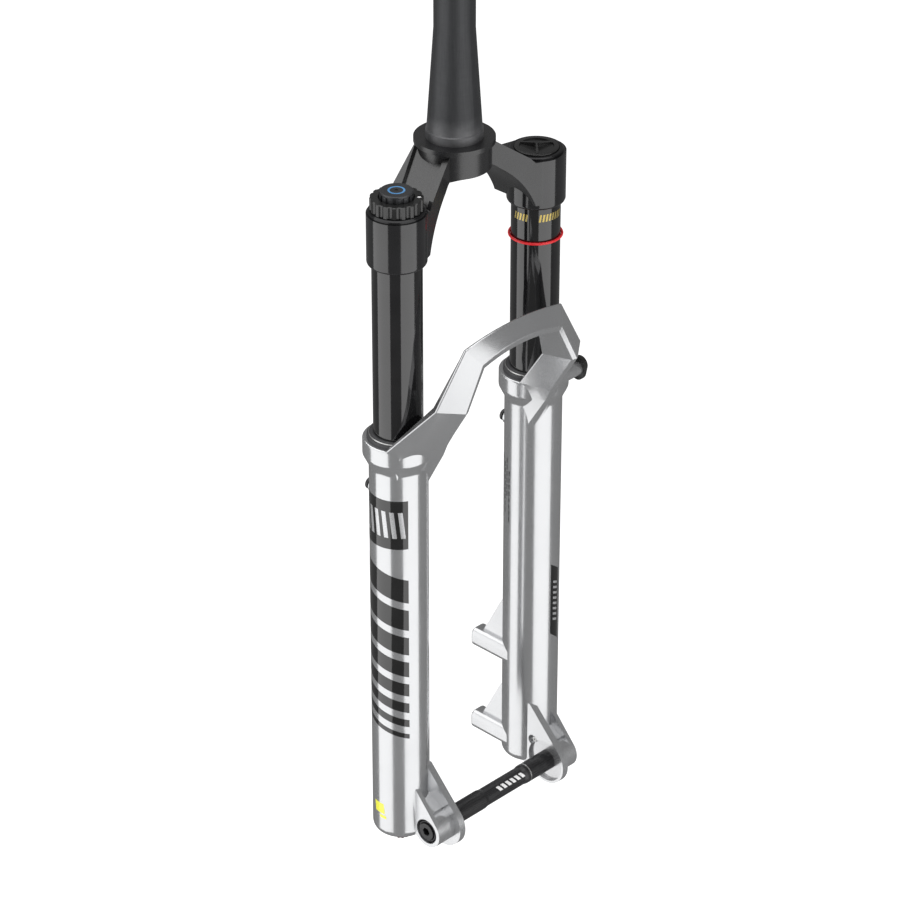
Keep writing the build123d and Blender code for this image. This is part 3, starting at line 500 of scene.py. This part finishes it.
# ---- Springs, clips and screws ----
# Steel parts: wire springs, spring clips and cold-headed screws, bright zinc plated.
# The springs are coiled from drawn wire, and the clips are bent from it.
steel = surface("spring_steel", dark=(0.48, 0.48, 0.48), light=(0.62, 0.62, 0.61),
                metallic=1.0, roughness=0.28, grain=2200, relief=0.000003)
finish(steel, "wiper_spring_left", "wiper_spring_right", "floater_spring", "seal_head_clip_left",
       "seal_head_clip_right", "foot_bolt_left", "foot_bolt_right", "hose_guide_screw")

# ---- Bushings and air valve ----
# Bushings: rolled bronze-backed strip, pressed into the legs.
# Air valve: turned brass, screwed into the air top cap, with its core inside.
material = surface("bushing_bronze", dark=(0.40, 0.28, 0.15), light=(0.52, 0.38, 0.22),
                   metallic=1.0, roughness=0.4, grain=1500, relief=0.000002)
finish(material, "upper_bushing_left", "upper_bushing_right", "lower_bushing_left",
       "lower_bushing_right")
material = surface("valve_brass", dark=(0.58, 0.44, 0.20), light=(0.70, 0.56, 0.30),
                   metallic=1.0, roughness=0.25, grain=1500, relief=0.000003)
finish(material, "air_valve", "valve_core")

# ---- Air spring and damper ----
# Inside the legs: turned aluminium shafts, pistons, heads and tubes, clear anodised, with moulded
# nylon spacers and a piston ring. Only the relief valve seats show outside.
turned_finish = (1, 1, 0.05)
material = surface("inner_alloy", dark=(0.56, 0.57, 0.58), light=(0.70, 0.71, 0.72),
                   metallic=1.0, roughness=0.27, grain=1800, stretch=turned_finish)
finish(material, "air_seal_head", "air_shaft", "air_piston", "damper_tube", "base_valve",
       "floating_piston", "damper_seal_head", "damper_shaft", "damper_piston", "crush_washers",
       "relief_seat_left", "relief_seat_right")
material = surface("inner_plastic", dark=(0.06, 0.06, 0.065), light=(0.09, 0.09, 0.095),
                   metallic=0.0, roughness=0.5, grain=1200, relief=0.00001)
finish(material, "volume_spacer_1", "volume_spacer_2", "piston_ring")

# ---- Top caps ----
# Caps screwed into both clamps: turned aluminium, black anodised; the air side is closed by a
# moulded black cap with a raised three-armed grip. The dial and hose guide are moulded too.
material = surface("cap_anodised", dark=(0.010, 0.010, 0.011), light=(0.017, 0.017, 0.018),
                   metallic=0.3, roughness=0.18, grain=2200, relief=0.000003,
                   stretch=turned_finish)
finish(material, "air_top_cap", "damper_top_cap")
material = surface("cap_moulded", dark=(0.010, 0.010, 0.010), light=(0.018, 0.018, 0.018),
                   metallic=0.0, roughness=0.24, grain=1500, relief=0.00001, ior=1.6)
finish(material, "air_cap", "compression_dial", "hose_guide")

# ---- Damper dials ----
# Dials on the damper cap: a black fluted outer dial with a white index dot in its recess, and a
# dark grey inner dial with a blue ring let into its face.
material = surface("dial_grey", dark=(0.05, 0.051, 0.054), light=(0.075, 0.076, 0.08),
                   metallic=0.6, roughness=0.33, grain=2000, relief=0.000005)
finish(material, "climb_dial")
material = surface("dial_blue", dark=(0.09, 0.30, 0.62), light=(0.14, 0.38, 0.72),
                   metallic=0.2, roughness=0.3, grain=2500)
finish(material, "dial_inlay")


def turned_piece(name, centre, directions, profile, material, body, around):
    """Profile of (radius, height) points turned about a bar's axis, with that many steps."""
    radius, height = np.array(profile).T[:, :, None]
    angle = np.linspace(0, 2 * math.pi, around, endpoint=False)[None, :]
    points = around_axis(centre, directions, radius, angle, height * np.ones_like(angle))
    index = np.arange(points.size // 3).reshape(points.shape[:-1])
    index = np.concatenate([index, index[:, :1]], axis=1)
    new_piece(name, points, strip(index[:-1], index[1:]), material, body)


white_ink = surface("ink_white", dark=(0.78, 0.78, 0.78), light=(0.86, 0.86, 0.86),
                    metallic=0.0, roughness=0.4, grain=2500)
dial_low, dial_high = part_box("compression_dial")
dot_reach = ((dial_high[0] - dial_low[0]) / 2 - 0.003) * math.sqrt(0.5)
dot_place = (leg_x + dot_reach, -leg_y + dot_reach, dial_high[2] - 0.001)
dot_profile = [(0, -0.0001), (0.0014, -0.0001), (0.0014, 0.0004), (0.0012, 0.0005), (0, 0.0005)]
turned_piece("index_dot", dot_place, ALONG_Z, dot_profile, white_ink,
             "compression_dial", around=48)

# ---- Rebound dial and relief buttons ----
# Rebound dial: knurled aluminium knob under the right leg, dark red anodised. Relief buttons:
# small black moulded caps at the back of each leg, on bright seats.
material = surface("dial_red", dark=(0.030, 0.003, 0.0035), light=(0.050, 0.005, 0.006),
                   metallic=0.3, roughness=0.3, grain=2000)
finish(material, "rebound_dial")
material = surface("button_black", dark=(0.010, 0.010, 0.010), light=(0.018, 0.018, 0.018),
                   metallic=0.0, roughness=0.3, grain=1800, relief=0.00001)
finish(material, "relief_button_left", "relief_button_right")

# ---- Axle ----
# Axle: aluminium tube, satin black anodised, with a captive turned washer at its head, white marks
# round its waist and a bright groove ring.
material = surface("axle_black", dark=(0.010, 0.010, 0.011), light=(0.018, 0.018, 0.019),
                   metallic=0.0, roughness=0.3, grain=1500, relief=0.000002, stretch=(1, 0.05, 1))
finish(material, "axle")
material = surface("washer_dark", dark=(0.10, 0.10, 0.105), light=(0.16, 0.16, 0.165),
                   metallic=0.9, roughness=0.3, grain=2000, relief=0.000005)
finish(material, "axle_washer")
axle_radius = 0.0075
waist_radius = axle_radius - 0.0006
axle_centre = (axle_x, 0, axle_z)
mark_width = 0.003
mark_lean = 0.0024
mark_pitch = 0.0048
mark_patches = [
    [(30, y + mark_width), (64, y + mark_lean + mark_width), (64, y + mark_lean), (30, y)]
    for y in mark_pitch * np.arange(-1, 5)]
wrapped("axle_marks", axle_centre, ALONG_Y, waist_radius, mark_patches, white_ink,
        "axle", columns=7)
ring_y = 0.030
ring_half = 0.0005
ring_inside = axle_radius - 0.0002
ring_outside = axle_radius + 0.0001
ring_profile = [
    (ring_inside, ring_y - ring_half), (ring_outside, ring_y - ring_half),
    (ring_outside, ring_y + ring_half), (ring_inside, ring_y + ring_half),
    (ring_inside, ring_y - ring_half)]
turned_piece("axle_ring", axle_centre, ALONG_Y, ring_profile, steel,
             "axle", around=64)

# ---- Dropout screw ----
# Screw in the lobe beside the left hub seat: a small steel button head with a round socket, which
# locks the hub seat's insert.
screw_place = (axle_x - 0.0123, hub_seat_y, axle_z + 0.0126)
screw_profile = [
    (0, -0.0003), (0.0010, -0.0003), (0.0010, -0.0008), (0.0019, -0.0008), (0.0023, -0.0004),
    (0.0023, 0), (0, 0)]
turned_piece("dropout_screw", screw_place, ALONG_Y, screw_profile, steel,
             "lowers", around=32)
